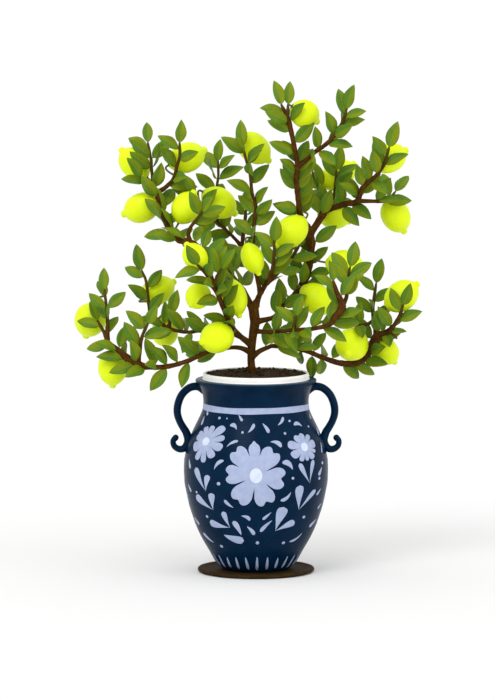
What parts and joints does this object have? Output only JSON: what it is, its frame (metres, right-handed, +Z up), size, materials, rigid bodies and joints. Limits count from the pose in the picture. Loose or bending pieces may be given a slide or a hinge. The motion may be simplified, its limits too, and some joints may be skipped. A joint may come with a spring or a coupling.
{
  "type": "potted lemon tree",
  "caption": "Small lemon tree in fruit with leafy spreading branches, growing in a round-bellied glazed vase with scroll handles on a shallow saucer.",
  "frame": {"origin": "middle of the saucer's flat underside, on the surface that the part stands on", "axes": "+Z up along the trunk, +X to the right and +Y to the back as seen from the front; the two handles lie along X"},
  "size_m": [0.6947, 0.3555, 0.9921],
  "materials": {
    "saucer": "dark stained, satin",
    "vase": "deep navy glaze, pale glaze inside",
    "painting": "lavender brushwork under a clear glaze",
    "soil": "moist crumbly potting soil",
    "bark": "matte brown bark",
    "leaf": "leathery, slight sheen, two greens either side of the rib",
    "lemon": "waxy pitted rind"
  },
  "bodies": {
    "root": {"saucer": "saucer", "vase": "vase", "soil": "soil", "trunk": "bark", "branch_rear": "leaf", "branch_cross": "leaf", "branch_front_left": "leaf", "branch_upper_left": "leaf", "branch_upper_left_inner": "leaf", "branch_upper_left_fork": "leaf", "branch_low_left": "leaf", "branch_back_left": "leaf", "branch_centre": "leaf", "branch_centre_tall": "leaf", "branch_centre_right": "leaf", "branch_right": "leaf", "branch_crown_left": "leaf", "branch_crown_shoulder": "leaf", "branch_crown_right": "leaf", "branch_far_right": "leaf", "branch_far_right_low": "leaf", "branch_front_right": "leaf", "branch_front_right_tall": "leaf", "branch_low_right": "leaf", "branch_low_right_tall": "leaf", "lemon_01": "lemon", "lemon_02": "lemon", "lemon_03": "lemon", "lemon_04": "lemon", "lemon_05": "lemon", "lemon_06": "lemon", "lemon_07": "lemon", "lemon_08": "lemon", "lemon_09": "lemon", "lemon_10": "lemon", "lemon_11": "lemon", "lemon_12": "lemon", "lemon_13": "lemon", "lemon_14": "lemon", "lemon_15": "lemon", "lemon_16": "lemon", "lemon_17": "lemon", "lemon_18": "lemon", "lemon_19": "lemon", "lemon_20": "lemon", "lemon_21": "lemon", "lemon_22": "lemon", "lemon_23": "lemon", "lemon_24": "lemon", "lemon_25": "lemon", "lemon_26": "lemon"}
  },
  "joints": []
}
